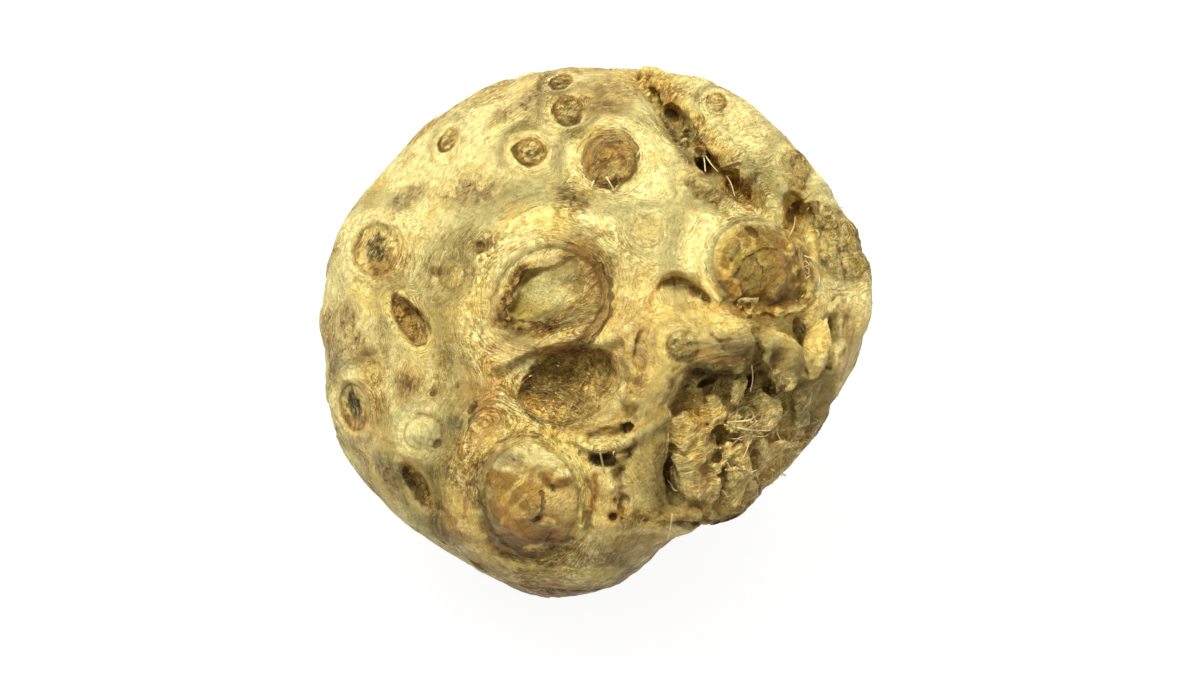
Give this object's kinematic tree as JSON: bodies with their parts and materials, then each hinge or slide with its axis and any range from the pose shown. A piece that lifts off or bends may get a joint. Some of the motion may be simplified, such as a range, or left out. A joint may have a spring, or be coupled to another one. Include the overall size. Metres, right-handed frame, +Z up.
{
  "type": "celeriac root",
  "caption": "Knobbly round celeriac root lying on its side, with trimmed root bosses, eye-shaped root scars, a cut crown and a tangle of thick roots at its root end.",
  "frame": {"origin": "centre of the bounding box's underside, on the surface that the root rests on", "axes": "+Z up. +X runs across the face with the root tangle at its right end, -Y is the side that the face looks to, and the face looks 40 degrees up from the horizontal. The cut crown is at the back left."},
  "size_m": [0.1236, 0.1224, 0.12],
  "materials": {
    "skin": "satin, fibrous pale yellow skin with brown and grey scars"
  },
  "bodies": {
    "root": {"celeriac_root": "skin"}
  },
  "joints": []
}
